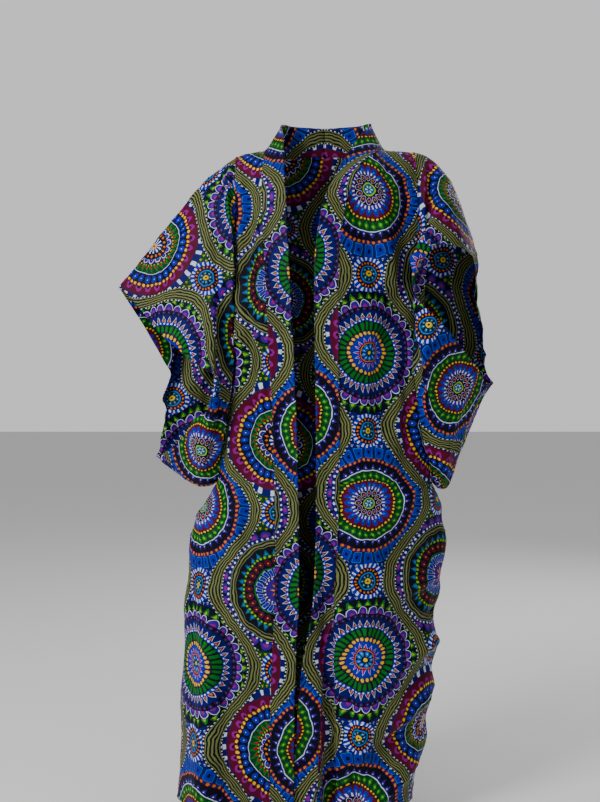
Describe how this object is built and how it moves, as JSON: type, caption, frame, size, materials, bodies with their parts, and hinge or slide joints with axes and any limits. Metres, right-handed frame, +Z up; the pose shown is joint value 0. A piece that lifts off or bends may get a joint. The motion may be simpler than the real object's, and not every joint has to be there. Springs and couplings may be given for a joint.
{
  "type": "long kimono jacket",
  "caption": "Long open-front kimono jacket with wide elbow-length sleeves and a standing edge band, worn open and hollow, in printed cotton.",
  "frame": {"origin": "middle of the neck base, level with the two points where the shoulder seams meet the edge band, where the wearer's shoulders carry the robe", "axes": "+Z up, -Y out of the open front, +X to the wearer's left"},
  "size_m": [0.8119, 0.3185, 1.477],
  "materials": {
    "printed_cotton": "stiff plain-weave cotton with a dense print on both faces"
  },
  "bodies": {
    "root": {"back": "printed_cotton", "front_right": "printed_cotton", "front_left": "printed_cotton", "sleeve_right": "printed_cotton", "sleeve_left": "printed_cotton", "band_right": "printed_cotton", "band_left": "printed_cotton"}
  },
  "joints": []
}
